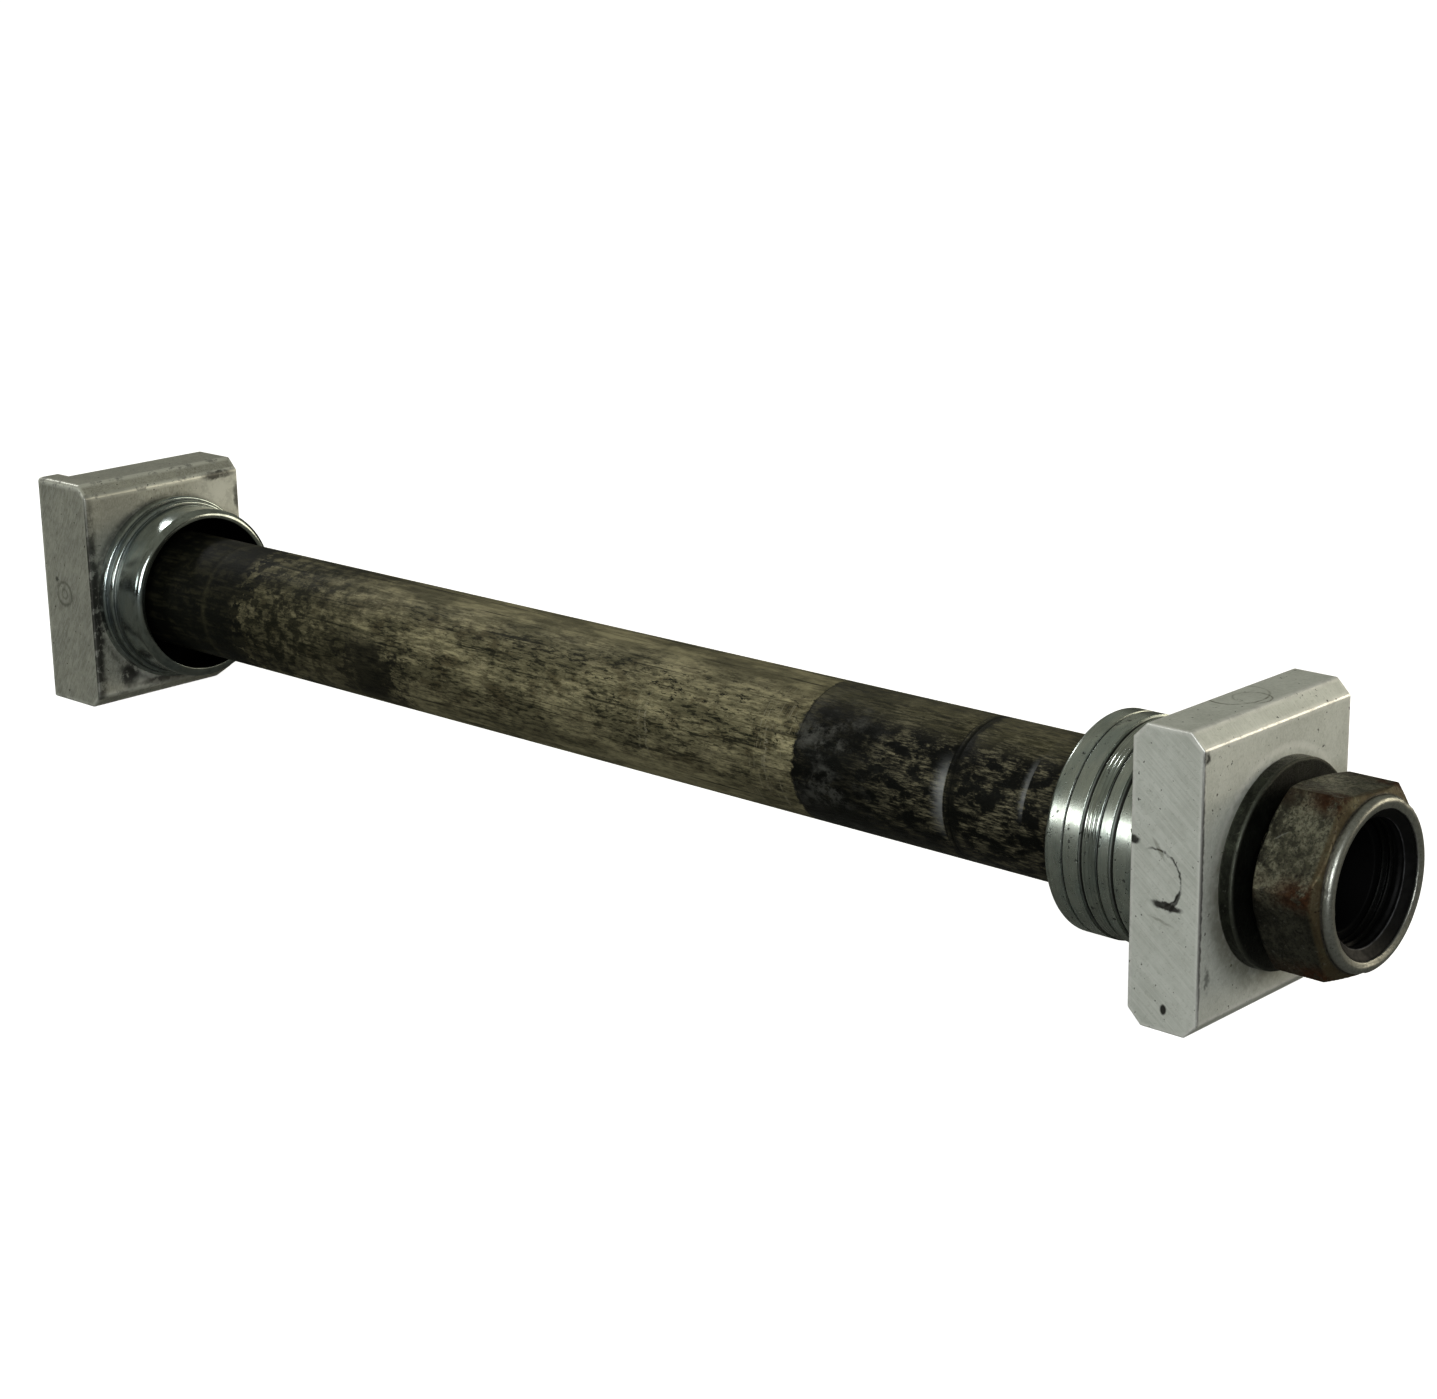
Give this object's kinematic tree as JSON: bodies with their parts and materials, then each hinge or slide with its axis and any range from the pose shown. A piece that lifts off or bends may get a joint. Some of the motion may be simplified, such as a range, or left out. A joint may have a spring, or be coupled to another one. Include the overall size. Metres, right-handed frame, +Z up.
{
  "type": "rear wheel axle",
  "caption": "Hollow motorcycle rear wheel axle with chain adjuster blocks, turned spacers, a washer and a self-locking nut.",
  "frame": {"origin": "on the axle's centre line, halfway along the axle", "axes": "+Y along the axle towards its nut, +X forward on the vehicle (the side the adjusters press on), +Z up"},
  "size_m": [0.0462, 0.3584, 0.0544],
  "materials": {
    "axle_steel": "worn, oily and stained ground steel",
    "left_block_aluminium": "dull, smudged extruded aluminium",
    "left_spacer_plate": "bright plated turned steel",
    "right_spacer_plate": "bright plated turned steel",
    "right_block_aluminium": "brushed aluminium with scratches",
    "washer_steel": "dark, oily plated steel",
    "nut_steel": "weathered plated steel with light rust on the edges",
    "insert_plastic": "black moulded plastic"
  },
  "bodies": {
    "root": {"axle_shaft": "axle_steel", "left_adjuster_block": "left_block_aluminium", "left_spacer": "left_spacer_plate", "right_spacer": "right_spacer_plate", "right_adjuster_block": "right_block_aluminium", "washer": "washer_steel", "axle_nut": "nut_steel", "nut_locking_insert": "insert_plastic"}
  },
  "joints": []
}
